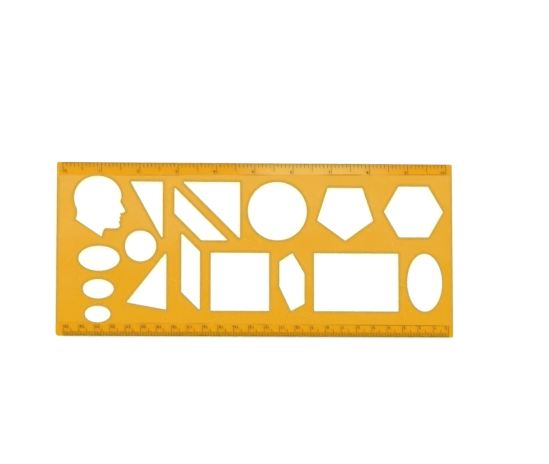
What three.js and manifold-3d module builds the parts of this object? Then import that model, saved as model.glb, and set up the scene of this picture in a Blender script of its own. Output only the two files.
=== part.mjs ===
// A drawing template: one thin moulded plate of tinted clear plastic, with seventeen openings to
// draw round, two ruling edges bevelled on their upper side, and a scale printed on each bevel.
// Sizes are in millimetres. While the plate is drawn, X and Y start at its lower left corner and
// Z at its flat underside; at the end it is moved so that the underside's centre is the origin.

import * as THREE from 'three';
import { mergeVertices, toCreasedNormals } from 'three/addons/utils/BufferGeometryUtils.js';
import Module from 'manifold-3d';

const wasm = await Module();
wasm.setup();

// Corners of the plate and of the openings
const plateCornerRadius = 0.8;
const roundestCornerRadius = 2.2;
const openingCornerRadius = 0.5;

// Heights at a ruling edge, halfway along it; together they are the plate's thickness
const rulingEdgeThickness = 0.8;
const bevelDrop = 0.58;
const bevelLedge = 0.12;

// The narrow slope along each short edge
const endSlopeWidth = 1.5;
const endSlopeDrop = 0.3;

// Print: the layer of ink, and the fine line that joins a scale's ticks along the ruling edge
const inkThickness = 0.05;
const inkInset = 0.25;
const inkBorderWidth = 0.2;
const tickWidth = 0.25;

// Upper scale
const upperUnit = 25;
const upperUnits = 10;
const upperDivisions = 10;
const upperZeroInset = 3.9;
const upperShortTick = 3.0;
const upperHalfTick = 5.3;
const upperUnitTick = 6.6;

// Lower scale, in centimetres and millimetres
const lowerUnit = 10;
const lowerUnits = 25;
const lowerDivisions = 10;
const lowerZeroInset = 3.05;
const lowerShortTick = 3.0;
const lowerHalfTick = 5.0;
const lowerUnitTick = 7.3;

const scaleEndMargin = 2.8;

// Numerals, drawn with one even stroke
const upperDigitHeight = 1.8;
const lowerDigitHeight = 2.0;
const digitWidth = 1.2;
const digitGap = 0.3;
const digitStroke = 0.28;
const upperDigitDrop = 1.8;
const lowerDigitDrop = 2.2;
const digitTickGap = 0.65;
const noughtTickGap = 1.0;

// The bevels were milled a little askew, so that the clear band between the print and the
// bevel's inner line is wider at the left end
const upperClearBandLeft = 2.2;
const upperClearBandRight = 0.2;
const lowerClearBandLeft = 1.4;
const lowerClearBandRight = 0.2;

// Left column, from the lower bevel up: three ellipses and the head
const headInset = 11.2;
const ellipseIndent = 3.2;
const middleEllipseShift = 0.4;
const smallEllipseShift = 0.7;
const bevelToEllipseWeb = 0.1;
const smallEllipseWidth = 16.6;
const smallEllipseHeight = 10.8;
const smallToMiddleWeb = 4.7;
const middleEllipseWidth = 20.0;
const middleEllipseHeight = 12.7;
const middleToWideWeb = 5.4;
const wideEllipseWidth = 26.7;
const wideEllipseHeight = 16.4;
const wideToNeckWeb = 5.8;
const neckLength = 5.8;
const headHeight = 34.4;
const headToBevelWeb = 0.1;

// The two rows of large openings, which share the height that the webs leave
const bevelToLowerRowWeb = 8.0;
const rowWeb = 8.5;
const upperRowToBevelWeb = 3.7;

// Lower row, from left to right
const lowerRowInset = 45.6;
const leaningTriangleWidth = 25.8;
const leaningTriangleRise = 5.2;
const leaningTriangleLift = 0.5;
const triangleToParallelogramWeb = 9.7;
const parallelogramWidth = 12.1;
const parallelogramSide = 38.6;
const parallelogramToSquareWeb = 7.0;
const squareSide = 38;
const squareToHexagonWeb = 6.7;
const irregularHexagonWidth = 16.3;
const irregularHexagonFootX = 7.5;
const irregularHexagonPeakX = 8.5;
const irregularHexagonLeftFoot = 16.0;
const irregularHexagonLeftSide = 16.2;
const irregularHexagonRightFoot = 4.8;
const irregularHexagonRightSide = 19.9;
const hexagonToRectangleWeb = 6.2;
const rectangleLength = 55.1;
const rectangleToEllipseWeb = 5.7;
const tallEllipseWidth = 22.9;
const lowerRowEndMargin = 6.9;

// Upper row, from left to right
const upperRowInset = 47.8;
const tallTriangleWidth = 21.1;
const triangleToTrapeziumWeb = 7.6;
const trapeziumDip = 0.5;
const trapeziumToTriangleWeb = 6.3;
const trapeziumToParallelogramWeb = 5.8;
const trapeziumHeight = 12.25;
const trapeziumShortSide = 24.9;
const rightTriangleLeg = 37.4;
const triangleToCircleWeb = 5.1;
const largeCircleDiameter = 38.5;
const circleToPentagonWeb = 6.7;
const pentagonRadius = 19.3;
const pentagonToHexagonWeb = 7.0;
const hexagonRadius = 19.4;
const upperRowEndMargin = 5.9;

// The small circle stands between the sloping sides of two triangles
const smallCircleDiameter = 20.3;
const circleToTallTriangleWeb = 4.5;
const circleToLeaningTriangleWeb = 5.6;

// Steps along round outlines, and how far a cut runs past what it cuts
const largeCircleSteps = 72;
const ellipseSteps = 48;
const skullSteps = 30;
const stepsBetweenFacePoints = 3;
const neckSteps = 4;
const cornerSteps = 4;
const digitSteps = 6;
const overcut = 1;

// How far the print and the bevels reach in from the ruling edges
const plateThickness = rulingEdgeThickness + bevelDrop + bevelLedge;
const upperDigitTop = upperShortTick + upperDigitDrop;
const lowerDigitTop = lowerShortTick + lowerDigitDrop;
const upperPrintDepth = Math.max(upperDigitTop + upperDigitHeight, upperUnitTick);
const lowerPrintDepth = Math.max(lowerDigitTop + lowerDigitHeight, lowerUnitTick);
const upperBevelLeft = upperPrintDepth + upperClearBandLeft;
const upperBevelRight = upperPrintDepth + upperClearBandRight;
const lowerBevelLeft = lowerPrintDepth + lowerClearBandLeft;
const lowerBevelRight = lowerPrintDepth + lowerClearBandRight;
const upperBevelWidest = Math.max(upperBevelLeft, upperBevelRight);
const lowerBevelWidest = Math.max(lowerBevelLeft, lowerBevelRight);

// Places in the left column, which fills the plate from bevel to bevel
const wideEllipseX = headInset + ellipseIndent + wideEllipseWidth / 2;
const middleEllipseX = wideEllipseX - middleEllipseShift;
const smallEllipseX = wideEllipseX - smallEllipseShift;
const smallEllipseFoot = lowerBevelWidest + bevelToEllipseWeb;
const middleEllipseFoot = smallEllipseFoot + smallEllipseHeight + smallToMiddleWeb;
const wideEllipseFoot = middleEllipseFoot + middleEllipseHeight + middleToWideWeb;
const neckFoot = wideEllipseFoot + wideEllipseHeight + wideToNeckWeb;
const chinY = neckFoot + neckLength;
const plateWidth = chinY + headHeight + headToBevelWeb + upperBevelWidest;

// Heights of the two rows, which are equally high
const lowerRowFoot = lowerBevelWidest + bevelToLowerRowWeb;
const upperRowTop = plateWidth - upperBevelWidest - upperRowToBevelWeb;
const rowHeight = (upperRowTop - rowWeb - lowerRowFoot) / 2;
const lowerRowTop = lowerRowFoot + rowHeight;
const upperRowFoot = lowerRowTop + rowWeb;
const upperRowMiddle = upperRowFoot + rowHeight / 2;

// Places in the lower row
const leaningTriangleRight = lowerRowInset + leaningTriangleWidth;
const parallelogramLeft = leaningTriangleRight + triangleToParallelogramWeb;
const parallelogramRight = parallelogramLeft + parallelogramWidth;
const squareLeft = parallelogramRight + parallelogramToSquareWeb;
const squareRight = squareLeft + squareSide;
const irregularHexagonLeft = squareRight + squareToHexagonWeb;
const irregularHexagonRight = irregularHexagonLeft + irregularHexagonWidth;
const rectangleLeft = irregularHexagonRight + hexagonToRectangleWeb;
const rectangleRight = rectangleLeft + rectangleLength;
const tallEllipseLeft = rectangleRight + rectangleToEllipseWeb;
const lowerRowEnd = tallEllipseLeft + tallEllipseWidth + lowerRowEndMargin;

// Places in the upper row. The trapezium lies along a 45 degree line, between the right triangle
// above it and the parallelogram below it, and dips a little below the row.
const diagonal = Math.SQRT2;
const tallTriangleRight = upperRowInset + tallTriangleWidth;
const trapeziumLeft = tallTriangleRight + triangleToTrapeziumWeb;
const trapeziumReach = trapeziumShortSide / diagonal;
const trapeziumSide = trapeziumHeight * diagonal;
const trapeziumFoot = upperRowFoot - trapeziumDip;
const trapeziumTop = trapeziumFoot + trapeziumReach + trapeziumSide;
const rightTriangleLeft = trapeziumLeft + trapeziumTop + trapeziumToTriangleWeb * diagonal
  - upperRowTop;
const rightTriangleRight = rightTriangleLeft + rightTriangleLeg;
const parallelogramPeak = trapeziumLeft + trapeziumFoot + trapeziumReach
  - trapeziumToParallelogramWeb * diagonal - parallelogramLeft;
const largeCircleLeft = rightTriangleRight + triangleToCircleWeb;
const pentagonHalfWidth = pentagonRadius * Math.sin((2 * Math.PI) / 5);
const pentagonLeft = largeCircleLeft + largeCircleDiameter + circleToPentagonWeb;
const hexagonLeft = pentagonLeft + 2 * pentagonHalfWidth + pentagonToHexagonWeb;
const upperRowEnd = hexagonLeft + 2 * hexagonRadius + upperRowEndMargin;

// The plate is as long as its rows and its scales ask for
const upperScaleEnd = upperZeroInset + upperUnit * upperUnits + scaleEndMargin;
const lowerScaleEnd = lowerZeroInset + lowerUnit * lowerUnits + scaleEndMargin;
const plateLength = Math.max(lowerRowEnd, upperRowEnd, upperScaleEnd, lowerScaleEnd);

function withoutRepeats(points) {
  const nearest = 1e-6;
  return points.filter((point, i) => point.distanceTo(points.at(i - 1)) > nearest);
}

// Outline of a convex polygon, given anticlockwise, with its corners rounded
function roundedPolygon(corners, radii) {
  const points = [];
  corners.forEach(([x, y], i) => {
    const corner = new THREE.Vector2(x, y);
    const before = new THREE.Vector2(...corners.at(i - 1)).sub(corner).normalize();
    const after = new THREE.Vector2(...corners[(i + 1) % corners.length]).sub(corner).normalize();
    const radius = radii[i % radii.length];
    const halfAngle = Math.acos(before.dot(after)) / 2;
    const inward = before.clone().add(after).setLength(radius / Math.sin(halfAngle));
    const centre = corner.clone().add(inward);
    const startAngle = Math.atan2(before.x, -before.y);
    const endAngle = Math.atan2(-after.x, after.y);
    const arc = new THREE.EllipseCurve(centre.x, centre.y, radius, radius, startAngle, endAngle);
    points.push(...arc.getPoints(cornerSteps));
  });
  return withoutRepeats(points);
}

function polygonOpening(corners) {
  return new THREE.Path(roundedPolygon(corners, [openingCornerRadius]));
}

function regularOpening(centreX, centreY, radius, sides, firstAngle) {
  const corners = [];
  for (let i = 0; i < sides; i += 1) {
    const angle = firstAngle + (i * 2 * Math.PI) / sides;
    corners.push([centreX + radius * Math.cos(angle), centreY + radius * Math.sin(angle)]);
  }
  return polygonOpening(corners);
}

function ellipseOpening(centreX, centreY, width, height, steps) {
  const curve = new THREE.EllipseCurve(centreX, centreY, width / 2, height / 2);
  return new THREE.Path(withoutRepeats(curve.getPoints(steps)));
}

// A head in profile, facing right, on the proportions of a drawing manual: the eyes lie halfway
// from chin to crown, and brow, nose and chin part the face in equal thirds. The neck is cut off
// on a slant. Places are shares of the height from chin to crown, up from the chin and forward
// from the upright line of the face.
function headOpening() {
  const skullX = -0.42;
  const skullY = 0.58;
  const skullHalfDepth = 0.45;
  const skullHalfHeight = 0.42;
  const faceX = headInset + headHeight * (skullHalfDepth - skullX);
  const place = (x, y) => new THREE.Vector2(faceX + x * headHeight, chinY + y * headHeight);
  const neckFront = new THREE.Vector2(place(-0.34, 0).x, neckFoot);
  const throat = place(-0.27, 0.0);
  const facePoints = [
    throat,
    place(-0.12, -0.008), // under the chin
    place(-0.035, 0.004),
    place(0.0, 0.05), // chin
    place(-0.02, 0.115), // hollow under the lip
    place(0.006, 0.158), // lower lip
    place(-0.01, 0.193), // mouth
    place(0.014, 0.228), // upper lip
    place(0.008, 0.28), // under the nose
    place(0.07, 0.298),
    place(0.098, 0.33), // tip of the nose
    place(0.052, 0.42),
    place(0.006, 0.505), // bridge, level with the eyes
    place(0.022, 0.57), // brow
  ];
  const face = new THREE.SplineCurve(facePoints);
  const neckCurve = new THREE.QuadraticBezierCurve(neckFront, place(-0.33, -0.03), throat);
  const skullStart = THREE.MathUtils.degToRad(8);
  const skullEnd = THREE.MathUtils.degToRad(205);
  const centre = place(skullX, skullY);
  const skull = new THREE.EllipseCurve(centre.x, centre.y, skullHalfDepth * headHeight,
    skullHalfHeight * headHeight, skullStart, skullEnd);
  const nape = new THREE.QuadraticBezierCurve(skull.getPoint(1), place(-0.783, 0.312),
    place(-0.835, 0.165));
  return new THREE.Path(withoutRepeats([
    ...neckCurve.getPoints(neckSteps),
    ...face.getPoints((facePoints.length - 1) * stepsBetweenFacePoints),
    ...skull.getPoints(skullSteps),
    ...nape.getPoints(neckSteps),
  ]));
}

// A line through two points, with the direction square to it on its left
function lineThrough([x1, y1], [x2, y2]) {
  const normal = new THREE.Vector2(y1 - y2, x2 - x1).normalize();
  return { normal, distance: normal.x * x1 + normal.y * y1 };
}

// The point that lies at the given distances to the left of two lines
function pointBeside(first, firstDistance, second, secondDistance) {
  const a = first.distance + firstDistance;
  const b = second.distance + secondDistance;
  const scale = first.normal.cross(second.normal);
  return {
    x: (a * second.normal.y - b * first.normal.y) / scale,
    y: (first.normal.x * b - second.normal.x * a) / scale,
  };
}

// Corners of the polygon openings, each anticlockwise
const tallTriangle = [
  [upperRowInset, upperRowTop],
  [tallTriangleRight, upperRowFoot],
  [tallTriangleRight, upperRowTop],
];
const trapezium = [
  [trapeziumLeft, trapeziumFoot + trapeziumReach],
  [trapeziumLeft + trapeziumReach, trapeziumFoot],
  [trapeziumLeft + trapeziumReach + trapeziumSide, trapeziumFoot],
  [trapeziumLeft, trapeziumTop],
];
const rightTriangle = [
  [rightTriangleLeft, upperRowTop],
  [rightTriangleRight, upperRowTop - rightTriangleLeg],
  [rightTriangleRight, upperRowTop],
];
const leaningTriangle = [
  [lowerRowInset, lowerRowFoot + leaningTriangleRise],
  [leaningTriangleRight, lowerRowFoot + leaningTriangleLift],
  [leaningTriangleRight, lowerRowTop],
];
const parallelogram = [
  [parallelogramLeft, parallelogramPeak - parallelogramSide],
  [parallelogramRight, parallelogramPeak - parallelogramSide - parallelogramWidth],
  [parallelogramRight, parallelogramPeak - parallelogramWidth],
  [parallelogramLeft, parallelogramPeak],
];
const square = [
  [squareLeft, lowerRowTop - squareSide],
  [squareRight, lowerRowTop - squareSide],
  [squareRight, lowerRowTop],
  [squareLeft, lowerRowTop],
];
const irregularHexagonLeftHeight = irregularHexagonLeftFoot + irregularHexagonLeftSide;
const irregularHexagonRightHeight = irregularHexagonRightFoot + irregularHexagonRightSide;
const irregularHexagon = [
  [irregularHexagonLeft, lowerRowFoot + irregularHexagonLeftFoot],
  [irregularHexagonLeft + irregularHexagonFootX, lowerRowFoot],
  [irregularHexagonRight, lowerRowFoot + irregularHexagonRightFoot],
  [irregularHexagonRight, lowerRowFoot + irregularHexagonRightHeight],
  [irregularHexagonLeft + irregularHexagonPeakX, lowerRowTop],
  [irregularHexagonLeft, lowerRowFoot + irregularHexagonLeftHeight],
];
const rectangle = [
  [rectangleLeft, lowerRowFoot],
  [rectangleRight, lowerRowFoot],
  [rectangleRight, lowerRowTop],
  [rectangleLeft, lowerRowTop],
];

const smallCircleRadius = smallCircleDiameter / 2;
const smallCircleCentre = pointBeside(
  lineThrough(tallTriangle[1], tallTriangle[0]),
  smallCircleRadius + circleToTallTriangleWeb,
  lineThrough(leaningTriangle[0], leaningTriangle[2]),
  smallCircleRadius + circleToLeaningTriangleWeb,
);

// Each row of this list is an upright ellipse or a circle: centre, width, height and steps
const roundOpenings = [
  [smallEllipseX, smallEllipseFoot + smallEllipseHeight / 2, smallEllipseWidth,
    smallEllipseHeight, ellipseSteps],
  [middleEllipseX, middleEllipseFoot + middleEllipseHeight / 2, middleEllipseWidth,
    middleEllipseHeight, ellipseSteps],
  [wideEllipseX, wideEllipseFoot + wideEllipseHeight / 2, wideEllipseWidth,
    wideEllipseHeight, ellipseSteps],
  [smallCircleCentre.x, smallCircleCentre.y, smallCircleDiameter, smallCircleDiameter,
    ellipseSteps],
  [largeCircleLeft + largeCircleDiameter / 2, upperRowMiddle, largeCircleDiameter,
    largeCircleDiameter, largeCircleSteps],
  [tallEllipseLeft + tallEllipseWidth / 2, lowerRowFoot + rowHeight / 2, tallEllipseWidth,
    rowHeight, ellipseSteps],
];
const straightOpenings = [
  tallTriangle, trapezium, rightTriangle, leaningTriangle, parallelogram, square,
  irregularHexagon, rectangle,
];
const openings = [
  headOpening(),
  ...roundOpenings.map((sizes) => ellipseOpening(...sizes)),
  ...straightOpenings.map(polygonOpening),
  regularOpening(pentagonLeft + pentagonHalfWidth, upperRowMiddle, pentagonRadius, 5,
    -Math.PI / 2),
  regularOpening(hexagonLeft + hexagonRadius, upperRowMiddle, hexagonRadius, 6, 0),
];

// Solids for cutting and joining, and back to drawable geometry
function toSolid(geometry) {
  geometry.deleteAttribute('normal');
  geometry.deleteAttribute('uv');
  const merged = mergeVertices(geometry);
  return new wasm.Manifold(new wasm.Mesh({
    numProp: 3,
    vertProperties: new Float32Array(merged.attributes.position.array),
    triVerts: new Uint32Array(merged.index.array),
  }));
}

function toGeometry(solid) {
  const mesh = solid.getMesh();
  const geometry = new THREE.BufferGeometry();
  geometry.setAttribute('position', new THREE.BufferAttribute(mesh.vertProperties, 3));
  geometry.setIndex(new THREE.BufferAttribute(mesh.triVerts, 1));
  return geometry;
}

function extrude(shape, depth) {
  return new THREE.ExtrudeGeometry(shape, { depth, bevelEnabled: false });
}

// A block to take away, with its eight corners put where cornerAt says
function blockCut(cornerAt) {
  const block = new THREE.BoxGeometry(2, 2, 2);
  const position = block.attributes.position;
  for (let i = 0; i < position.count; i += 1) {
    const isRight = position.getX(i) > 0;
    const isBack = position.getY(i) > 0;
    const isTop = position.getZ(i) > 0;
    position.setXYZ(i, ...cornerAt(isRight, isBack, isTop));
  }
  return toSolid(block);
}

// A bevel's sloping face is one plane. side is 1 at the upper edge and -1 at the lower one.
function makeBevel(side, edgeY, widthAtLeft, widthAtRight) {
  const widthAt = (x) => widthAtLeft + ((widthAtRight - widthAtLeft) * x) / plateLength;
  const slope = bevelDrop / widthAt(plateLength / 2);
  const innerLine = (x) => edgeY - side * widthAt(x);
  const heightAt = (x, y) => plateThickness - bevelLedge - slope * side * (y - innerLine(x));
  return { side, edgeY, innerLine, heightAt };
}

function bevelCut(bevel) {
  return blockCut((isRight, isBack, isTop) => {
    const x = isRight ? plateLength + overcut : -overcut;
    const isOutside = isBack === bevel.side > 0;
    const y = isOutside ? bevel.edgeY + bevel.side * overcut : bevel.innerLine(x);
    const z = isTop ? plateThickness + overcut : bevel.heightAt(x, y);
    return [x, y, z];
  });
}

// side is 1 at the right end and -1 at the left one
function endSlopeCut(side) {
  const edgeX = side > 0 ? plateLength : 0;
  return blockCut((isRight, isBack, isTop) => {
    const isOutside = isRight === side > 0;
    const x = isOutside ? edgeX + side * overcut : edgeX - side * endSlopeWidth;
    const y = isBack ? plateWidth + overcut : -overcut;
    const drop = isOutside ? (endSlopeDrop * (endSlopeWidth + overcut)) / endSlopeWidth : 0;
    return [x, y, isTop ? plateThickness + overcut : plateThickness - drop];
  });
}

const upperBevel = makeBevel(1, plateWidth, upperBevelLeft, upperBevelRight);
const lowerBevel = makeBevel(-1, 0, lowerBevelLeft, lowerBevelRight);

function templatePlate() {
  const outline = new THREE.Shape(roundedPolygon(
    [[0, 0], [plateLength, 0], [plateLength, plateWidth], [0, plateWidth]],
    [roundestCornerRadius, plateCornerRadius, plateCornerRadius, plateCornerRadius],
  ));
  outline.holes.push(...openings);
  const blank = toSolid(extrude(outline, plateThickness));
  const cuts = [bevelCut(upperBevel), bevelCut(lowerBevel), endSlopeCut(1), endSlopeCut(-1)];
  return toGeometry(cuts.reduce((plate, cut) => plate.subtract(cut), blank));
}

// Both scales are drawn alike, reading from left to right with their ruling edge along the top.
// The lower one is then turned by half a turn, so that each reads upright from its own edge.
const upperScale = {
  bevel: upperBevel,
  zeroX: upperZeroInset,
  unit: upperUnit,
  units: upperUnits,
  divisions: upperDivisions,
  shortTick: upperShortTick,
  halfTick: upperHalfTick,
  unitTick: upperUnitTick,
  digitTop: upperDigitTop,
  digitHeight: upperDigitHeight,
};
const lowerScale = {
  bevel: lowerBevel,
  zeroX: plateLength - lowerZeroInset,
  unit: lowerUnit,
  units: lowerUnits,
  divisions: lowerDivisions,
  shortTick: lowerShortTick,
  halfTick: lowerHalfTick,
  unitTick: lowerUnitTick,
  digitTop: lowerDigitTop,
  digitHeight: lowerDigitHeight,
};

// Turns a drawn piece of print the right way round and lays it on its bevel's sloping face
function layOnBevel(geometry, scale) {
  const { bevel } = scale;
  const position = geometry.attributes.position;
  for (let i = 0; i < position.count; i += 1) {
    const x = scale.zeroX + bevel.side * position.getX(i);
    const y = bevel.edgeY + bevel.side * position.getY(i);
    position.setXYZ(i, x, y, position.getZ(i) + bevel.heightAt(x, y));
  }
  return geometry;
}

function tickLength(scale, index) {
  if (index % scale.divisions === 0) return scale.unitTick;
  if (index % (scale.divisions / 2) === 0) return scale.halfTick;
  return scale.shortTick;
}

// The ticks of a scale hang from the fine line along the ruling edge, as one comb
function scaleTicks(scale) {
  const step = scale.unit / scale.divisions;
  const last = scale.units * scale.divisions;
  const borderFoot = -(inkInset + inkBorderWidth);
  const half = tickWidth / 2;
  const comb = new THREE.Shape();
  comb.moveTo(last * step + half, -inkInset);
  comb.lineTo(-half, -inkInset);
  for (let i = 0; i <= last; i += 1) {
    const x = i * step;
    const foot = -tickLength(scale, i);
    if (i > 0) comb.lineTo(x - half, borderFoot);
    comb.lineTo(x - half, foot);
    comb.lineTo(x + half, foot);
    if (i < last) comb.lineTo(x + half, borderFoot);
  }
  return layOnBevel(extrude(comb, inkThickness), scale);
}

// Centre lines of the numerals, in a box of the given width and height
function straight(...places) {
  return { points: places.map(([x, y]) => new THREE.Vector2(x, y)), closed: false };
}

function bowl(x, y, width, height, startDegrees, endDegrees) {
  const curve = new THREE.EllipseCurve(x, y, width / 2, height / 2,
    THREE.MathUtils.degToRad(startDegrees), THREE.MathUtils.degToRad(endDegrees), true);
  return { points: curve.getPoints(digitSteps), closed: false };
}

function ring(x, y, width, height, straightLength) {
  const rise = straightLength / 2;
  const half = height / 2 - rise;
  const top = new THREE.EllipseCurve(x, y + rise, width / 2, half, 0, Math.PI);
  const foot = new THREE.EllipseCurve(x, y - rise, width / 2, half, Math.PI, 2 * Math.PI);
  const points = [...top.getPoints(digitSteps), ...foot.getPoints(digitSteps)];
  return { points: withoutRepeats(points), closed: true };
}

function hook(from, pull, to) {
  const ends = [from, pull, to].map(([x, y]) => new THREE.Vector2(x, y));
  const curve = new THREE.QuadraticBezierCurve(...ends);
  return { points: curve.getPoints(digitSteps), closed: false };
}

function digitLines(digit, w, h) {
  const middle = w / 2;
  const drawings = [
    () => [ring(middle, h / 2, w, h, h - w)],
    () => [straight([0.6 * w, 0], [0.6 * w, h]), straight([0.6 * w, h], [0.2 * w, 0.8 * h])],
    () => [bowl(middle, 0.72 * h, w, 0.56 * h, 165, -25),
      straight([0.95 * w, 0.6 * h], [0, 0]), straight([0, 0], [w, 0])],
    () => [bowl(middle, 0.76 * h, 0.9 * w, 0.48 * h, 155, -90),
      bowl(middle, 0.26 * h, w, 0.52 * h, 90, -155)],
    () => [straight([0.72 * w, 0], [0.72 * w, h]), straight([0.72 * w, h], [0, 0.3 * h]),
      straight([0, 0.3 * h], [w, 0.3 * h])],
    () => [straight([0.9 * w, h], [0.1 * w, h]), straight([0.1 * w, h], [0.06 * w, 0.5 * h]),
      bowl(middle, 0.32 * h, w, 0.64 * h, 145, -150)],
    () => [ring(middle, 0.3 * h, w, 0.6 * h, 0), hook([0, 0.3 * h], [0, 0.9 * h], [0.8 * w, h])],
    () => [straight([0, h], [w, h]), straight([w, h], [0.3 * w, 0])],
    () => [ring(middle, 0.76 * h, 0.84 * w, 0.48 * h, 0), ring(middle, 0.26 * h, w, 0.52 * h, 0)],
    () => [ring(middle, 0.7 * h, w, 0.6 * h, 0), hook([w, 0.7 * h], [w, 0.1 * h], [0.2 * w, 0])],
  ];
  return drawings[digit]();
}

// The points beside a line, at a distance to its left
function sideline(points, closed, distance) {
  const last = points.length - 1;
  return points.map((point, i) => {
    const before = points[i > 0 ? i - 1 : closed * last];
    const after = points[i < last ? i + 1 : !closed * last];
    const arriving = point.clone().sub(before).normalize();
    const leaving = after.clone().sub(point).normalize();
    const along = arriving.clone().add(leaving).normalize();
    const reach = distance / Math.max(along.dot(arriving), along.dot(leaving));
    return new THREE.Vector2(point.x - along.y * reach, point.y + along.x * reach);
  });
}

// The points of a half turn clockwise about a centre, without its two ends
function roundEnd(centre, from) {
  const points = [];
  const capSteps = digitSteps / 2;
  for (let i = 1; i < capSteps; i += 1) {
    points.push(from.clone().rotateAround(centre, (-i * Math.PI) / capSteps));
  }
  return points;
}

// The outline of an even stroke along a line, with round ends where the line is open
function strokeShape({ points, closed }) {
  const left = sideline(points, closed, digitStroke / 2);
  const right = sideline(points, closed, -digitStroke / 2);
  if (closed) {
    const outer = new THREE.Shape(right);
    outer.holes.push(new THREE.Path(left));
    return outer;
  }
  const endCap = roundEnd(points.at(-1), left.at(-1));
  const startCap = roundEnd(points[0], right[0]);
  return new THREE.Shape([...left, ...endCap, ...right.reverse(), ...startCap]);
}

// One numeral, with the middle of its lower left stroke at x = 0 and y = 0
function digitSolid(digit, height) {
  const lines = digitLines(digit, digitWidth - digitStroke, height - digitStroke);
  const strokes = lines.map((line) => toSolid(extrude(strokeShape(line), inkThickness)));
  return strokes.reduce((joined, stroke) => joined.add(stroke));
}

function amberPlastic() {
  return new THREE.MeshStandardMaterial({ color: 0xeaab30, roughness: 0.25, metalness: 0 });
}

function printingInk() {
  return new THREE.MeshStandardMaterial({ color: 0x2b2118, roughness: 0.6, metalness: 0 });
}

function piece(name, geometry, material) {
  const sharpestSmoothEdge = 0.5;
  const mesh = new THREE.Mesh(toCreasedNormals(geometry, sharpestSmoothEdge), material);
  mesh.name = name;
  return mesh;
}

// Each number stands just before its tick, and the nought just after it. A number of two
// numerals is two pieces of print.
function scaleNumbers(scale, name) {
  const group = new THREE.Group();
  const footY = -(scale.digitTop + scale.digitHeight) + digitStroke / 2;
  for (let value = 0; value <= scale.units; value += 1) {
    const digits = [...String(value)];
    const width = digits.length * digitWidth + (digits.length - 1) * digitGap;
    const tickX = value * scale.unit;
    const beforeTick = tickX - tickWidth / 2 - digitTickGap - width;
    const afterTick = tickX + tickWidth / 2 + noughtTickGap;
    const left = (value === 0 ? afterTick : beforeTick) + digitStroke / 2;
    digits.forEach((digit, place) => {
      const geometry = toGeometry(digitSolid(Number(digit), scale.digitHeight));
      geometry.translate(left + place * (digitWidth + digitGap), footY, 0);
      const suffix = digits.length > 1 ? ['_tens', '_units'][place] : '';
      group.add(piece(`${name}_${value}${suffix}`, layOnBevel(geometry, scale), printingInk()));
    });
  }
  return group;
}

const template = new THREE.Group();
template.add(piece('template_plate', templatePlate(), amberPlastic()));
template.add(piece('upper_scale_ticks', scaleTicks(upperScale), printingInk()));
template.add(piece('lower_scale_ticks', scaleTicks(lowerScale), printingInk()));
template.add(scaleNumbers(upperScale, 'upper_number'));
template.add(scaleNumbers(lowerScale, 'lower_number'));
template.position.set(-plateLength / 2, -plateWidth / 2, 0);

const model = new THREE.Group();
model.add(template);

export default model;
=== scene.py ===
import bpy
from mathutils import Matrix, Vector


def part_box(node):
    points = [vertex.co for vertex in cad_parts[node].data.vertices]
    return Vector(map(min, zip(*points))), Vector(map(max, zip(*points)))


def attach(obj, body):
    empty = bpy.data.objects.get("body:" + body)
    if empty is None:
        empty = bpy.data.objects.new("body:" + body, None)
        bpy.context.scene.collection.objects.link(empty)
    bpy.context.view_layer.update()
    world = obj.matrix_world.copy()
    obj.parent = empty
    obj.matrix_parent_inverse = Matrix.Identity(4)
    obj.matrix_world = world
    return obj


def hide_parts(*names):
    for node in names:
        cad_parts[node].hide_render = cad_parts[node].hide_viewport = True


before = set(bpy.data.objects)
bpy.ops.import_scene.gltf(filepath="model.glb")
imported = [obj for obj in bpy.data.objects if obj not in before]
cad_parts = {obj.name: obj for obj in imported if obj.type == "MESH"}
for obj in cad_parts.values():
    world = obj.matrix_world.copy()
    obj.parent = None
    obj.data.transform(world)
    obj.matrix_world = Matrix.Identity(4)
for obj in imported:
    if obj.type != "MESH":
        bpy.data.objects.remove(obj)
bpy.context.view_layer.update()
MM = 0.001

# %% [markdown]
# A drawing template is one thin plate of tinted clear plastic with shapes to trace round, and
# two scales that are printed on its bevelled edges. The frame holds the plate and every mark of
# ink at their real places. This script gives the plate the rounded rims, the tint and the shine
# of moulded plastic, prints the ticks again with Geometry Nodes, and lights it all softly.

# %% Tools, and the plate's size from the frame
import math

import bmesh
import bpy
import numpy as np
from mathutils import Vector
from mathutils.geometry import delaunay_2d_cdt

plate_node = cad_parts["template_plate"]
half_length, half_width, thickness = (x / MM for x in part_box("template_plate")[1])
print("half the plate's length and width, and its thickness, in mm:",
      [round(x, 2) for x in (half_length, half_width, thickness)])

# %% [markdown]
# The openings are what the template is for, so their outlines must stay exactly where the frame
# has them. They could be drawn again from their sizes, but it is safer to read them off the
# frame: an edge of the flat underside that has a wall on its other side is on an outline. The
# frame's mesh is loose triangles, so a copy is merged first, and the copy is thrown away. Its
# faces are read in their own order, not from a set, so that every run gives the same mesh.

# %% Read the outlines off the frame
merge_distance = 0.0005
facing_down = -0.9


def faces_down(face):
    return face.normal.z < facing_down


def read_outlines(obj):
    """The closed outlines of a flat piece's underside, with the material on their right."""
    work = bmesh.new()
    work.from_mesh(obj.data)
    bmesh.ops.remove_doubles(work, verts=work.verts, dist=merge_distance * MM)
    work.normal_update()
    follower = {}
    for face in filter(faces_down, work.faces):
        for loop in face.loops:
            if sum(map(faces_down, loop.edge.link_faces)) == 1:
                follower[loop.vert] = loop.link_loop_next.vert
    found = []
    while follower:
        place, points = next(iter(follower)), []
        while place in follower:
            points.append(place.co.xy / MM)
            place = follower.pop(place)
        found.append(np.array(points))
    work.free()
    return found


outlines = read_outlines(plate_node)
print(len(outlines), "outlines with", [len(o) for o in outlines], "points")

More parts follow.
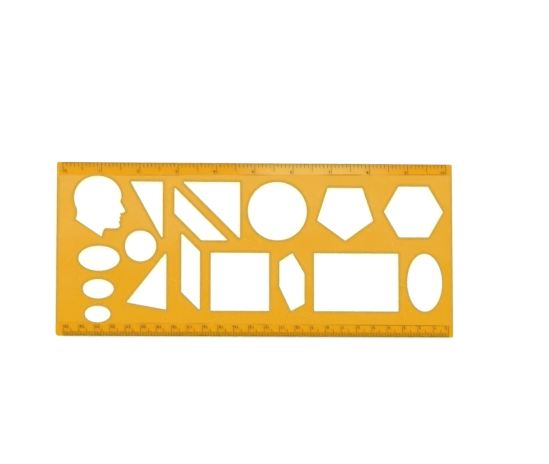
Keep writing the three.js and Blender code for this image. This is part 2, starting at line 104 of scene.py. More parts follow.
# %% [markdown]
# Each ruling edge is bevelled on its upper side. The bevels were milled a little askew, so each
# is wider at its left end, and a small ledge marks where the cutter began. Because the upper
# side is a few planes that meet in straight lines, its height is a plain formula, and the
# formula is checked against the frame's own points. The bevels lie four thousandths of a
# millimetre higher here, so that the ink is bedded in the plastic and no two faces coincide.

# %% Height of the upper side
bevel_drop = 0.58
bevel_ledge = 0.12
ledge_slant = 0.05
end_slope_width = 1.5
end_slope_drop = 0.3
bevels = {
    "upper": {"side": 1, "width_left": 8.8, "width_right": 6.8},
    "lower": {"side": -1, "width_left": 8.7, "width_right": 7.5},
}
ink_sunk = 0.004
lowest_upper_point = 0.01


def inner_line(bevel, x):
    """Where a bevel begins, as a place in Y, for places in X."""
    share = (x + half_length) / (2 * half_length)
    width = bevel["width_left"] + (bevel["width_right"] - bevel["width_left"]) * share
    return bevel["side"] * (half_width - width)


def bevel_slope(bevel):
    return bevel_drop / ((bevel["width_left"] + bevel["width_right"]) / 2)


def surface_height(x, y):
    """Height of the upper side in mm, before its rims are rounded."""
    end_reach = np.maximum(np.abs(x) - (half_length - end_slope_width), 0)
    height = thickness - end_slope_drop * end_reach / end_slope_width
    for bevel in bevels.values():
        reach = bevel["side"] * (y - inner_line(bevel, x))
        sloping = thickness - bevel_ledge + ink_sunk - bevel_slope(bevel) * reach
        ledge = thickness - bevel_ledge * np.clip(reach / ledge_slant, 0, 1)
        height = np.minimum(height, np.where(reach > ledge_slant, sloping, ledge))
    return height


cad_points = np.array([v.co for v in plate_node.data.vertices]) / MM
upper_points = cad_points[cad_points[:, 2] > lowest_upper_point]
gaps = np.abs(surface_height(upper_points[:, 0], upper_points[:, 1]) - upper_points[:, 2])
print("largest difference from the frame's upper side, mm:", round(float(gaps.max()), 3))

# %% [markdown]
# A moulded rim is never sharp: it is rounded by a fifth of a millimetre, and that thin round
# catches the light. Each opening is framed with a dark line of painted shade. A Bevel modifier
# could round the rim, but the painted shade also needs to know how far each point is from an
# edge. So rings of points are laid along every outline, a Delaunay triangulation fills the rest,
# and each point keeps its distance from the nearest edge as an attribute that the material reads.

# %% Rings of points along the outlines
rim_radius = 0.18
foot_radius = 0.1
round_rings = [0.0, 0.02, 0.06, 0.11, 0.18]
paint_rings = [0.32, 0.5, 0.75, 1.1, 1.6, 2.4]
sharpest_miter = 0.35


def inset(outline, distance):
    """The outline moved into the material, which lies on its right."""
    ahead = np.roll(outline, -1, axis=0) - outline
    ahead /= np.linalg.norm(ahead, axis=1)[:, None]
    behind = np.roll(ahead, 1, axis=0)
    right = np.stack([ahead[:, 1] + behind[:, 1], -ahead[:, 0] - behind[:, 0]], axis=1)
    right /= np.maximum(np.linalg.norm(right, axis=1), 1e-9)[:, None]
    lean = right[:, 0] * ahead[:, 1] - right[:, 1] * ahead[:, 0]
    return outline + right * (distance / np.maximum(lean, sharpest_miter))[:, None]


def segments(loops):
    """Start and end points of all the outlines' edges."""
    starts = np.concatenate(loops)
    ends = np.concatenate([np.roll(loop, -1, axis=0) for loop in loops])
    return starts, ends


def edge_distance(points):
    """Distance from each point to the nearest outline."""
    starts, ends = segments(outlines)
    along = ends - starts
    from_start = points[:, None, :] - starts
    share = (from_start * along).sum(2) / (along * along).sum(1)
    nearest = from_start - np.clip(share, 0, 1)[:, :, None] * along
    return np.linalg.norm(nearest, axis=2).min(axis=1)


def in_material(points):
    """True for points that an odd number of outlines surround."""
    starts, ends = segments(outlines)
    x, y = points[:, :1], points[:, 1:]
    spans = (starts[:, 1] > y) != (ends[:, 1] > y)
    rise = np.where(ends[:, 1] == starts[:, 1], 1, ends[:, 1] - starts[:, 1])
    crossing = starts[:, 0] + (ends[:, 0] - starts[:, 0]) * (y - starts[:, 1]) / rise
    return (spans & (x < crossing)).sum(axis=1) % 2 == 1


# %% [markdown]
# Seen from above, the plate is a flat sheet with seventeen holes. A constrained Delaunay
# triangulation keeps every ring and the bevels' straight lines as edges, and fills what lies
# between them with triangles of a good shape. It fills the holes as well, so a triangle whose
# middle isn't in the material is dropped.

# %% Triangulate the plate as seen from above
touching = 1e-4
flat_points, flat_edges = [], []


def add_line(points, closed):
    first = len(flat_points)
    flat_points.extend(Vector(p) for p in points)
    count = len(points)
    flat_edges.extend((first + i, first + (i + 1) % count) for i in range(count - (not closed)))


for outline in outlines:
    for ring in round_rings + paint_rings:
        add_line(inset(outline, ring), closed=True)
for bevel in bevels.values():
    for shift in (0, ledge_slant):
        ends = [(x, inner_line(bevel, x) + bevel["side"] * shift) for x in (-half_length, half_length)]
        add_line(ends, closed=False)
for side in (-1, 1):
    x = side * (half_length - end_slope_width)
    add_line([(x, -half_width), (x, half_width)], closed=False)

places, _, triangles, *_ = delaunay_2d_cdt(flat_points, flat_edges, [], 0, touching)
places = np.array([tuple(p) for p in places])
triangles = np.array([tuple(t) for t in triangles])
triangles = triangles[in_material(places[triangles].mean(axis=1))]
used, triangles = np.unique(triangles, return_inverse=True)
places, triangles = places[used], triangles.reshape(-1, 3)
turned = np.cross(places[triangles[:, 1]] - places[triangles[:, 0]],
                  places[triangles[:, 2]] - places[triangles[:, 0]]) < 0
triangles[turned] = triangles[turned][:, ::-1]
print(len(places), "points and", len(triangles), "triangles seen from above")

# %% [markdown]
# The sheet becomes a plate when it is laid twice, at the height of the upper side and at the
# underside, and a wall joins the two along every outline. Solidify would give it one even
# thickness, but the bevels slope and each rim has its own radius, so each point's height comes
# from the formulas.

# %% Raise it into a closed plate with rounded rims
sharp_angle = 35


def round_drop(distance, radius):
    """How far a rounded rim lies below its flat face, at a distance from the edge."""
    into = np.clip(radius - distance, 0, radius)
    return radius - np.sqrt(radius ** 2 - into ** 2)


def build_plate(name):
    distance = edge_distance(places)
    top = surface_height(places[:, 0], places[:, 1]) - round_drop(distance, rim_radius)
    foot = round_drop(distance, foot_radius)
    count = len(places)
    points = np.concatenate([np.column_stack([places, top]), np.column_stack([places, foot])])
    sides = {}
    for a, b, c in triangles.tolist():
        for edge in ((a, b), (b, c), (c, a)):
            sides[edge] = True
    rims = [(a, b) for a, b in sides if (b, a) not in sides]
    faces = triangles.tolist()
    faces += [(c + count, b + count, a + count) for a, b, c in triangles.tolist()]
    faces += [(a, a + count, b + count, b) for a, b in rims]
    mesh = bpy.data.meshes.new(name)
    mesh.from_pydata((points * MM).tolist(), [], faces)
    mesh.validate()
    stored = mesh.attributes.new("edge_distance", "FLOAT", "POINT")
    stored.data.foreach_set("value", np.tile(distance, 2).astype(np.float32))
    mesh.shade_smooth()
    mesh.set_sharp_from_angle(angle=math.radians(sharp_angle))
    return bpy.data.objects.new(name, mesh)


plate = build_plate("plate")
bpy.context.scene.collection.objects.link(plate)
check = bmesh.new()
check.from_mesh(plate.data)
print("plate:", len(plate.data.polygons), "faces, open edges:",
      sum(not e.is_manifold for e in check.edges), "volume in cm3:",
      round(check.calc_volume() / MM ** 3 / 1000, 3))
check.free()

# %% [markdown]
# Node trees are easier to follow when a line of code is a step of thought, so a small helper
# adds a node, fills its inputs by name or by order, and joins it to what came before.

# %% A helper for node trees
class Tree:
    def __init__(self, tree):
        self.tree = tree

    def join(self, socket, value):
        if isinstance(value, bpy.types.Node):
            value = next(s for s in value.outputs if s.enabled)
        if isinstance(value, bpy.types.NodeSocket):
            self.tree.links.new(value, socket)
        elif value is not None:
            socket.default_value = value

    def add(self, kind, inputs=(), **settings):
        """A node with its settings. Inputs are a dict by name, or values in order."""
        node = self.tree.nodes.new(kind)
        for key, value in settings.items():
            setattr(node, key, value)
        open_sockets = [s for s in node.inputs if s.enabled]
        if isinstance(inputs, dict):
            for name, value in inputs.items():
                self.join(next(s for s in open_sockets if s.name == name), value)
        else:
            for socket, value in zip(open_sockets, inputs):
                self.join(socket, value)
        return node

    def math(self, operation, *values, clamp=False):
        return self.add("ShaderNodeMath", values, operation=operation, use_clamp=clamp)

    def vector(self, operation, *values):
        return self.add("ShaderNodeVectorMath", values, operation=operation)

    def xyz(self, x=0.0, y=0.0, z=0.0):
        return self.add("ShaderNodeCombineXYZ", (x, y, z))

    def blend(self, share, first, second):
        """Two colours mixed by a share from 0 to 1."""
        inputs = {"Factor": share, "A": first, "B": second}
        return self.add("ShaderNodeMix", inputs, data_type="RGBA")

    def step(self, value, low, high, start=0.0, end=1.0):
        """A smooth step: start where the value is low, and end where it is high."""
        inputs = {"Value": value, "From Min": low, "From Max": high, "To Min": start, "To Max": end}
        return self.add("ShaderNodeMapRange", inputs, interpolation_type="SMOOTHSTEP")

    def mm_step(self, value, low, high, start=0.0, end=1.0):
        """The same for a value in metres, with its limits in mm."""
        return self.step(value, low * MM, high * MM, start, end)

    def noise(self, place, scale, detail=2.0, roughness=0.5):
        inputs = {"Vector": place, "Scale": scale, "Detail": detail, "Roughness": roughness}
        return self.add("ShaderNodeTexNoise", inputs)

    def input(self, name):
        node = next((n for n in self.tree.nodes if n.bl_idname == "NodeGroupInput"), None)
        node = node or self.tree.nodes.new("NodeGroupInput")
        return node.outputs[name]

    def outputs(self, **values):
        node = self.tree.nodes.new("NodeGroupOutput")
        for name, value in values.items():
            self.join(node.inputs[name.replace("_", " ")], value)


def new_group(name, kind, inputs, outputs):
    group = bpy.data.node_groups.new(name, kind)
    for direction, sockets in (("INPUT", inputs), ("OUTPUT", outputs)):
        for label, socket in sockets.items():
            group.interface.new_socket(label, in_out=direction, socket_type="NodeSocket" + socket)
    return Tree(group)


# %% [markdown]
# A school template lives in a bag with pencils and keys, so its plastic is never spotless. It
# has hair-fine scratches in a few directions, hazy patches where fingers held it, and specks of
# dust. The print wears in the same places as the plastic, so one group of nodes makes the wear
# for both materials. It gives out plain masks and a height, and each material uses them its
# own way.

# %% One group of nodes for wear
scratch_sets = [
    {"turn": 0.35, "stretch": 45.0, "rarity": 0.77},
    {"turn": -0.9, "stretch": 70.0, "rarity": 0.78},
    {"turn": 1.45, "stretch": 30.0, "rarity": 0.79},
]
scratch_softness = 0.025
haze_from, haze_to = 0.45, 0.75
speck_radius, speck_core = 0.05, 0.02
speckless_share = 0.8
wear_sizes = {"Scratch spacing": 0.4, "Haze size": 24.0, "Speck spacing": 4.0}


def wear_group():
    inputs = {name: "Float" for name in wear_sizes}
    outputs = {"Scratches": "Float", "Haze": "Float", "Height": "Float"}
    t = new_group("Wear", "ShaderNodeTree", inputs, outputs)
    place = t.add("ShaderNodeTexCoord").outputs["Object"]
    spacing = t.math("DIVIDE", 1.0, t.input("Scratch spacing"))
    scratches = None
    for each in scratch_sets:
        turned = t.add("ShaderNodeVectorRotate", {"Vector": place, "Angle": each["turn"]},
                       rotation_type="Z_AXIS")
        drawn_out = t.vector("MULTIPLY", turned, (1.0 / each["stretch"], 1.0, 0.2))
        lines = t.step(t.noise(drawn_out, spacing, 1.0), each["rarity"] - scratch_softness,
                       each["rarity"])
        scratches = lines if scratches is None else t.math("MAXIMUM", scratches, lines)
    fingers = t.noise(place, t.math("DIVIDE", 1.0, t.input("Haze size")), 4.0, 0.6)
    haze = t.step(fingers, haze_from, haze_to)
    cells = t.add("ShaderNodeTexVoronoi", {
        "Vector": place, "Scale": t.math("DIVIDE", 1.0, t.input("Speck spacing"))})
    chance = t.add("ShaderNodeSeparateColor", {"Color": cells.outputs["Color"]}).outputs[0]
    specks = t.math("MULTIPLY", t.step(cells.outputs["Distance"], speck_radius, speck_core),
                    t.math("GREATER_THAN", chance, speckless_share))
    height = t.math("SUBTRACT", specks, scratches)
    t.outputs(Scratches=scratches, Haze=haze, Height=height)
    return t.tree


wear = wear_group()


def wear_marks(t):
    """The wear group inside a material, at the sizes of real scratches and specks."""
    node = t.add("ShaderNodeGroup", node_tree=wear)
    for name, size in wear_sizes.items():
        node.inputs[name].default_value = size * MM
    return node.outputs


# %% [markdown]
# Tinted polystyrene is clear amber, so what shows through it is the paper under it. The tint
# isn't even. It is paler towards the upper edge and a little deeper at the right end,
# with slow streaks where the melt flowed. Painted shade makes it browner in the last two
# millimetres before an edge, for the light that runs sideways through the plastic there, but
# less so at the thin edge of a bevel. The bevels are painted a deeper orange as shade on their
# slopes, apart from a painted highlight: a paler stretch in the middle of the upper one, where a
# lamp's reflection lies. A dark line of painted shade marks the ledge where each bevel begins,
# stronger at the right end and lost in places.
# Each of these is a mask that mixes in one named tint, so that any of them can be tuned alone.
# Places are in mm from the plate's middle and widths are in mm, and each pair runs from where
# its mask is low to where it is high.

# %% Tints of the plastic, and where each one lies
amber = (0.865, 0.475, 0.022, 1)
amber_pale = (0.88, 0.54, 0.21, 1)
# Painted shade: the bevels' slopes are painted a deeper orange.
amber_bevel_shade = (0.88, 0.43, 0.004, 1)
# Painted highlight: a paler stretch on the upper bevel, where a lamp's reflection lies.
amber_painted_highlight = (0.92, 0.61, 0.38, 1)
# Painted shade: a browner band along every edge, and a darker line at the edge itself.
amber_rim_shade = (0.63, 0.45, 0.25, 1)
amber_edge_shade = (0.52, 0.38, 0.17, 1)
# Painted shade: the dark line of the ledge where each bevel begins.
amber_ledge_shade = (0.55, 0.24, 0.002, 1)
amber_scratch = (0.95, 0.75, 0.4, 1)
# For each bevel: the strength of its painted shade (depth), whether it takes the painted highlight,
# and the colour of its painted edge shade.
bevel_tints = {
    "upper": {"depth": 0.92, "painted_highlight": 1.0, "rim_shade": (0.64, 0.46, 0.18, 1)},
    "lower": {"depth": 0.9, "painted_highlight": 0.0, "rim_shade": (0.69, 0.47, 0.06, 1)},
}
deeper_stretch = (60, 115)
# Where the painted highlight rises and falls along the upper bevel.
painted_highlight_rise, painted_highlight_fall = (-20, 18), (108, 48)
# Where the ledge's painted shade grows along the plate, and how wide it is.
ledge_shade_stretch = (-100, 110)
ledge_shade_blend = (0.5, 0.1)
bevel_blend = (-0.1, 0.4)
rim_shade_blend = (2.7, 0.4)
edge_shade_blend = (0.45, 0.1)


def bevel_reach(t, place, bevel):
    """How far a point is inside a bevel, in metres, below zero outside it."""
    left, right = (inner_line(bevel, x) for x in (-half_length, half_length))
    tilt = (right - left) / (2 * half_length)
    along = t.vector("DOT_PRODUCT", place, (-bevel["side"] * tilt, bevel["side"], 0.0))
    return t.math("SUBTRACT", along.outputs["Value"], bevel["side"] * (left + right) / 2 * MM)


def paleness(t, place, x, y):
    """A mask that grows towards the upper edge, with streaks, and falls at the right end."""
    upward = t.mm_step(y, -half_width, half_width)
    flow = t.noise(t.vector("MULTIPLY", place, (0.5, 1.0, 1.0)), 30.0, 3.0, 0.55)
    streaked = t.math("ADD", upward, t.step(flow, 0.35, 0.7, -0.25, 0.25))
    deeper = t.mm_step(x, *deeper_stretch, 0.0, 0.2)
    return t.math("SUBTRACT", streaked, deeper, clamp=True)


# The strength of the painted shade along each bevel's ledge.
def ledge_shade_strength(t, place, x):
    """A mask that comes and goes along the plate, and grows towards the right end."""
    broken = t.step(t.noise(place, 36.0, 1.0), 0.4, 0.6, 0.1, 0.85)
    return t.math("MULTIPLY", broken, t.mm_step(x, *ledge_shade_stretch, 0.6, 1.2), clamp=True)


def plate_tint(t, place, marks):
    """The colour of the plastic at each place, from one mask for each tint."""
    x, y = t.add("ShaderNodeSeparateXYZ", (place,)).outputs[:2]
    tint = t.blend(paleness(t, place, x, y), amber, amber_pale)
    # A painted highlight: a lamp's reflection along the middle of the upper bevel.
    painted_highlight = t.math("MULTIPLY", t.mm_step(x, *painted_highlight_rise), t.mm_step(x, *painted_highlight_fall))
    ledge_shade_share = ledge_shade_strength(t, place, x)
    rim_shade, on_bevel = amber_rim_shade, 0.0
    for name, bevel in bevels.items():
        look = bevel_tints[name]
        reach = bevel_reach(t, place, bevel)
        inside = t.mm_step(reach, *bevel_blend)
        # Painted shade on the bevel's slope, with the painted highlight on the upper one.
        bevel_shade_and_highlight = t.blend(t.math("MULTIPLY", painted_highlight, look["painted_highlight"]), amber_bevel_shade, amber_painted_highlight)
        tint = t.blend(t.math("MULTIPLY", inside, look["depth"]), tint, bevel_shade_and_highlight)
        # The ledge's painted shade where the bevel begins.
        near = t.mm_step(t.math("ABSOLUTE", reach), *ledge_shade_blend)
        tint = t.blend(t.math("MULTIPLY", near, ledge_shade_share), tint, amber_ledge_shade)
        # Each bevel has its own colour of painted edge shade.
        rim_shade = t.blend(inside, rim_shade, look["rim_shade"])
        on_bevel = t.math("MAXIMUM", inside, on_bevel)
    # Painted shade near every edge: a browner band, weaker on the bevels, and a dark line at the edge
    # itself.
    edge = t.add("ShaderNodeAttribute", attribute_name="edge_distance").outputs["Fac"]
    rim_shaded = t.math("MULTIPLY", t.step(edge, *rim_shade_blend), t.step(on_bevel, 0.0, 1.0, 1.0, 0.55))
    tint = t.blend(rim_shaded, tint, rim_shade)
    tint = t.blend(t.step(edge, *edge_shade_blend), tint, amber_edge_shade)
    return t.blend(t.math("MULTIPLY", marks["Scratches"], 0.05), tint, amber_scratch)


print("tints for", ", ".join(bevel_tints), "bevel and the rest of the plate")

# %% [markdown]
# The plastic's colour comes from the light that goes through it. Cycles can refract that light,
# but soft lamps seen through a clear plate give noisy bright spots on the floor. So shadow rays
# and diffuse rays meet a plain tinted clearness, and only what the camera sees is refracted. A
# little real absorption makes the plate darker when it is seen edge on.
#
# The surface is smooth and glossy. Haze and scratches make it rougher, and a slow waviness with
# very shallow scratches breaks up the reflections, because moulded plastic is never as flat as
# glass.

# %% The tinted plastic
paper_seen_through = (1.0, 0.965, 0.55, 1)
absorbed_tint = (0.98, 0.65, 0.12, 1)
smoothness, haze_roughness, scratch_roughness = 0.09, 0.1, 0.2
scratch_height = 0.012


def plastic_material():
    material = bpy.data.materials.new("tinted_plastic_amber")
    material.use_nodes = True
    material.node_tree.nodes.clear()
    t = Tree(material.node_tree)
    place = t.add("ShaderNodeTexCoord").outputs["Object"]
    marks = wear_marks(t)
    tint = plate_tint(t, place, marks)
    roughness = t.math("ADD", smoothness, t.math("MULTIPLY", marks["Haze"], haze_roughness))
    roughness = t.math(
        "ADD", roughness, t.math("MULTIPLY", marks["Scratches"], scratch_roughness), clamp=True)
    waves = t.noise(place, 55.0, 1.0)
    relief = t.math("ADD", waves, t.math("MULTIPLY", marks["Height"], scratch_height))
    bump = t.add("ShaderNodeBump", {"Strength": 0.25, "Distance": 0.2 * MM, "Height": relief})
    surface = t.add("ShaderNodeBsdfPrincipled", {
        "Base Color": tint, "Roughness": roughness, "Normal": bump,
        "IOR": 1.49, "Transmission Weight": 1.0})
    clear = t.add("ShaderNodeBsdfTransparent", {"Color": paper_seen_through})
    rays = t.add("ShaderNodeLightPath").outputs
    mixed = t.add("ShaderNodeMixShader", (rays["Is Shadow Ray"], surface, clear))
    mixed = t.add("ShaderNodeMixShader", (rays["Is Diffuse Ray"], mixed, clear))
    depth = t.add("ShaderNodeVolumeAbsorption", {"Color": absorbed_tint, "Density": 60.0})
    t.add("ShaderNodeOutputMaterial", {"Surface": mixed, "Volume": depth})
    return material


plastic = plastic_material()
plate.data.materials.append(plastic)

# %% [markdown]
# The print is a thin film of dark brown ink. Screen-printed ink is a little uneven, so it is
# lighter where the film is thin, and it has lost a little where the plate is scratched. It is
# more matt than the plastic, so it mirrors less of the sky.

# %% The ink
ink_full = (0.08, 0.034, 0.002, 1)
ink_thin = (0.20, 0.09, 0.003, 1)
ink_worn = (0.42, 0.20, 0.015, 1)
ink_unevenness = 0.4
ink_scratched = 0.6
ink_roughness = (0.42, 0.62)


def ink_material():
    material = bpy.data.materials.new("scale_ink_dark")
    material.use_nodes = True
    material.node_tree.nodes.clear()
    t = Tree(material.node_tree)
    place = t.add("ShaderNodeTexCoord").outputs["Object"]
    marks = wear_marks(t)
    film = t.noise(place, 260.0, 3.0, 0.6)
    faded = t.add("ShaderNodeAttribute", attribute_name="ink_wear").outputs["Fac"]
    uneven = t.math("MULTIPLY", faded, ink_unevenness)
    thin = t.math("ADD", t.step(film, 0.4, 0.7), uneven, clamp=True)
    colour = t.blend(thin, ink_full, ink_thin)
    colour = t.blend(t.math("MULTIPLY", marks["Scratches"], ink_scratched), colour, ink_worn)
    roughness = t.step(film, 0.3, 0.8, *ink_roughness)
    grain = t.noise(place, 4000.0, 2.0)
    relief = t.math("ADD", grain, marks["Height"])
    bump = t.add("ShaderNodeBump", {"Strength": 0.15, "Distance": 0.02 * MM, "Height": relief})
    surface = t.add("ShaderNodeBsdfPrincipled", {
        "Base Color": colour, "Roughness": roughness, "Normal": bump, "IOR": 1.5,
        "Specular IOR Level": 0.2})
    t.add("ShaderNodeOutputMaterial", {"Surface": surface})
    return material


ink = ink_material()
print("materials:", plastic.name, "with", len(plastic.node_tree.nodes), "nodes and", ink.name,
      "with", len(ink.node_tree.nodes))

# %% [markdown]
# Each scale is hundreds of printed ticks of three lengths, in a pattern that a rule gives: the
# tenth tick is the longest, and the fifth is the next longest. That is work for Geometry Nodes:
# one small block is instanced along a line, scaled by its index, and laid on the sloping face
# of its bevel. A real print isn't even, so each tick's length and its film of ink vary a
# little, from a fixed seed.

# %% A tree of nodes for one printed scale
def scale_tree():
    inputs = {
        "Step": "Float", "Last tick": "Int", "Divisions": "Int", "Short tick": "Float",
        "Half tick": "Float", "Unit tick": "Float", "Tick width": "Float",
        "Ink thickness": "Float", "Edge inset": "Float", "Border width": "Float",
        "Unevenness": "Float", "Side": "Float", "Zero place": "Vector", "Slope": "Vector",
        "Seed": "Int", "Ink": "Material"}
    t = new_group("Printed scale", "GeometryNodeTree", inputs, {"Geometry": "Geometry"})
    index = t.add("GeometryNodeInputIndex")

    def every(count, then, otherwise):
        """One length at every so many ticks, and another at the rest."""
        hit = t.math("LESS_THAN", t.math("MODULO", index, count), 0.5)
        inputs = {"Switch": hit, "True": then, "False": otherwise}
        return t.add("GeometryNodeSwitch", inputs, input_type="FLOAT")

    half_count = t.math("DIVIDE", t.input("Divisions"), 2.0)
    length = every(half_count, t.input("Half tick"), t.input("Short tick"))
    length = every(t.input("Divisions"), t.input("Unit tick"), length)
    change = t.add("FunctionNodeRandomValue", {
        "Min": -1.0, "Max": 1.0, "ID": index, "Seed": t.input("Seed")}, data_type="FLOAT")
    change = next(s for s in change.outputs if s.enabled)
    length = t.math("ADD", length, t.math("MULTIPLY", change, t.input("Unevenness")))

    start = t.math("ADD", t.input("Edge inset"), t.input("Border width"))
    half_film = t.math("MULTIPLY", t.input("Ink thickness"), 0.5)
    size = t.xyz(t.input("Tick width"), t.math("SUBTRACT", length, start), t.input("Ink thickness"))
    centre = t.xyz(0.0, t.math("MULTIPLY", t.math("ADD", length, start), -0.5), half_film)
    line = t.add("GeometryNodeMeshLine", {
        "Count": t.math("ADD", t.input("Last tick"), 1.0), "Offset": t.xyz(t.input("Step"))})
    line = t.add("GeometryNodeSetPosition", {"Geometry": line, "Offset": centre})
    block = t.add("GeometryNodeMeshCube", {"Size": (1.0, 1.0, 1.0)})
    ticks = t.add("GeometryNodeInstanceOnPoints", {
        "Points": line, "Instance": block, "Scale": size})
    ticks = t.add("GeometryNodeStoreNamedAttribute", {
        "Geometry": ticks, "Name": "ink_wear", "Value": t.math("ABSOLUTE", change)},
        data_type="FLOAT", domain="INSTANCE")

    reach = t.math("MULTIPLY", t.input("Step"), t.input("Last tick"))
    border_y = t.math("MULTIPLY", t.math("ADD", t.input("Edge inset"), start), -0.5)
    border = t.add("GeometryNodeTransform", {
        "Geometry": block,
        "Translation": t.xyz(t.math("MULTIPLY", reach, 0.5), border_y, half_film),
        "Scale": t.xyz(t.math("ADD", reach, t.input("Tick width")), t.input("Border width"),
                       t.input("Ink thickness"))})
    both = t.add("GeometryNodeJoinGeometry")
    t.join(both.inputs[0], border)
    t.join(both.inputs[0], ticks)
    solid = t.add("GeometryNodeRealizeInstances", {"Geometry": both})

    turn = t.xyz(t.input("Side"), t.input("Side"), 1.0)
    turned = t.vector("MULTIPLY_ADD", t.add("GeometryNodeInputPosition"), turn,
                      t.input("Zero place"))
    rise = t.vector("DOT_PRODUCT", turned, t.input("Slope")).outputs["Value"]
    laid = t.add("GeometryNodeSetPosition", {
        "Geometry": solid, "Position": turned, "Offset": t.xyz(0.0, 0.0, rise)})
    inked = t.add("GeometryNodeSetMaterial", {"Geometry": laid, "Material": t.input("Ink")})
    t.outputs(Geometry=inked)
    return t.tree


printed_scale = scale_tree()
print("the scale's tree has", len(printed_scale.nodes), "nodes")

# %% [markdown]
# The upper scale starts at the left end and has ten units of 25 mm. The lower one is turned half
# a turn, so it starts at the right end, and it has 25 centimetres. Each is tilted with its
# bevel. The result is kept as a plain mesh, and the modifier goes.

# %% Print both scales
scales = {
    "upper": {"zero": 3.9, "step": 2.5, "units": 10,
              "short": 3.0, "half": 5.3, "unit": 6.6, "seed": 3},
    "lower": {"zero": 3.05, "step": 1.0, "units": 25,
              "short": 3.0, "half": 5.0, "unit": 7.3, "seed": 8},
}
divisions = 10
print_sizes = {"Tick width": 0.25, "Ink thickness": 0.05, "Edge inset": 0.25, "Border width": 0.2,
               "Unevenness": 0.07}


def print_scale(key, scale):
    """The ticks of one scale, on the bevel of the same name."""
    bevel = bevels[key]
    side, slope = bevel["side"], bevel_slope(bevel)
    left, right = (inner_line(bevel, x) for x in (-half_length, half_length))
    tilt, middle = (right - left) / (2 * half_length), (left + right) / 2
    base = thickness - bevel_ledge + slope * side * middle
    zero = (side * (scale["zero"] - half_length), side * half_width, base)
    sizes = {**print_sizes, "Step": scale["step"], "Short tick": scale["short"],
             "Half tick": scale["half"], "Unit tick": scale["unit"]}
    values = {label: size * MM for label, size in sizes.items()}
    values.update({
        "Last tick": scale["units"] * divisions, "Divisions": divisions, "Side": float(side),
        "Zero place": [x * MM for x in zero], "Slope": [slope * side * tilt, -slope * side, 0.0],
        "Seed": scale["seed"], "Ink": ink})
    name = key + "_ticks"
    piece = bpy.data.objects.new(name, bpy.data.meshes.new(name))
    bpy.context.scene.collection.objects.link(piece)
    modifier = piece.modifiers.new("Print", "NODES")
    modifier.node_group = printed_scale
    for item in printed_scale.interface.items_tree:
        if item.in_out == "INPUT":
            modifier[item.identifier] = values[item.name]
    graph = bpy.context.evaluated_depsgraph_get()
    mesh = bpy.data.meshes.new_from_object(
        piece.evaluated_get(graph), preserve_all_data_layers=True, depsgraph=graph)
    piece.modifiers.clear()
    piece.data = mesh
    return piece


ticks = {key: print_scale(key, scale) for key, scale in scales.items()}

# %% [markdown]
# Every new piece rides on the template's one body and stands for its node in the frame. The
# numerals keep the frame's own shapes and only get the ink.

# %% Dress the frame
numerals = [node for name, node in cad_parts.items() if "_number_" in name]
for node in numerals:
    for slot in node.material_slots:
        slot.material = ink
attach(plate, "root")
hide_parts("template_plate")
for key, piece in ticks.items():
    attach(piece, "root")
    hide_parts(key + "_scale_ticks")
print(len(numerals), "numerals inked")

# %% [markdown]
# The template lies flat on a white table. The floor is a hair below the plate, so that the two
# faces don't coincide. The sky is white near the horizon and grey overhead: a flat plate that is
# seen from above mirrors what is overhead, and a white sky there would wash out the amber.

# %% Floor and sky
paper_white = (0.93, 0.93, 0.93, 1)
sky_white = (1, 1, 1, 1)
sky_overhead = (0.15, 0.15, 0.145, 1)
sky_turns_grey = (0.1, 0.75)
floor_reach, floor_depth = 12.0, 0.12 * MM

floor_mesh = bpy.data.meshes.new("floor")
corners = [(x * floor_reach, y * floor_reach, -floor_depth)
           for x, y in ((-1, -1), (1, -1), (1, 1), (-1, 1))]
floor_mesh.from_pydata(corners, [], [(0, 1, 2, 3)])
floor = bpy.data.objects.new("floor", floor_mesh)
bpy.context.scene.collection.objects.link(floor)
paper = bpy.data.materials.new("white_paper")
paper.use_nodes = True
paper.node_tree.nodes.clear()
t = Tree(paper.node_tree)
t.add("ShaderNodeOutputMaterial", {
    "Surface": t.add("ShaderNodeBsdfDiffuse", {"Color": paper_white})})
floor_mesh.materials.append(paper)

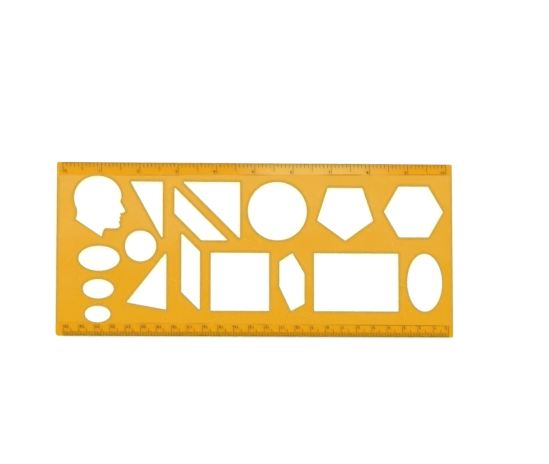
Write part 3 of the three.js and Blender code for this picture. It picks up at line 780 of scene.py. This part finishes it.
world = bpy.data.worlds.new("studio")
bpy.context.scene.world = world
world.use_nodes = True
world.node_tree.nodes.clear()
t = Tree(world.node_tree)
direction = t.add("ShaderNodeTexCoord").outputs["Generated"]
upward = t.add("ShaderNodeSeparateXYZ", (direction,)).outputs["Z"]
sky = t.blend(t.step(upward, *sky_turns_grey), sky_white, sky_overhead)
t.add("ShaderNodeOutputWorld", {
    "Surface": t.add("ShaderNodeBackground", {"Color": sky, "Strength": 1.0})})
print("floor", 2 * floor_reach, "m wide,", round(floor_depth / MM, 2), "mm below the plate")

# %% [markdown]
# Two wide soft suns light the plate, from behind on the left and from the right, so the floor is
# evenly lit out to the horizon. The stronger one is kept out of the reflections, as a
# photographer does with a flag or a polariser. Otherwise its mirror image would lie over the
# plate as a pale patch when it is seen from the front on the right.

# %% Lamps
def add_sun(name, azimuth, elevation, strength, width, mirrored):
    """A sun towards an azimuth and an elevation in degrees, its width in degrees too."""
    lamp = bpy.data.lights.new(name, "SUN")
    lamp.energy = strength
    lamp.angle = math.radians(width)
    sun = bpy.data.objects.new(name, lamp)
    azimuth, elevation = math.radians(azimuth), math.radians(elevation)
    toward = Vector((math.cos(azimuth) * math.cos(elevation),
                     math.sin(azimuth) * math.cos(elevation), math.sin(elevation)))
    sun.rotation_euler = toward.to_track_quat("Z", "Y").to_euler()
    sun.visible_glossy = mirrored
    bpy.context.scene.collection.objects.link(sun)
    return sun


suns = [add_sun("key", azimuth=120, elevation=50, strength=1.85, width=32, mirrored=False),
        add_sun("fill", azimuth=-25, elevation=50, strength=1.4, width=34, mirrored=True)]
print("suns:", [(sun.name, sun.data.energy) for sun in suns])

# %% [markdown]
# The photo looks down on the template from two metres, almost straight, and a little from its
# left and its front. The camera's place and turn were found by laying the plate's corners and
# openings on the photo's.

# %% Camera
camera_place = (-0.0825, -0.256, 1.9671)
camera_turn = (7.743, -2.768, -0.034)

camera_data = bpy.data.cameras.new("camera")
camera_data.lens = 200
camera_data.sensor_width = 36
camera_data.clip_end = 100
camera = bpy.data.objects.new("camera", camera_data)
camera.location = camera_place
camera.rotation_euler = [math.radians(a) for a in camera_turn]
bpy.context.scene.collection.objects.link(camera)
bpy.context.scene.camera = camera
bpy.context.scene.view_settings.view_transform = "Standard"
print("camera", round(camera.location.length, 2), "m from the plate's middle")
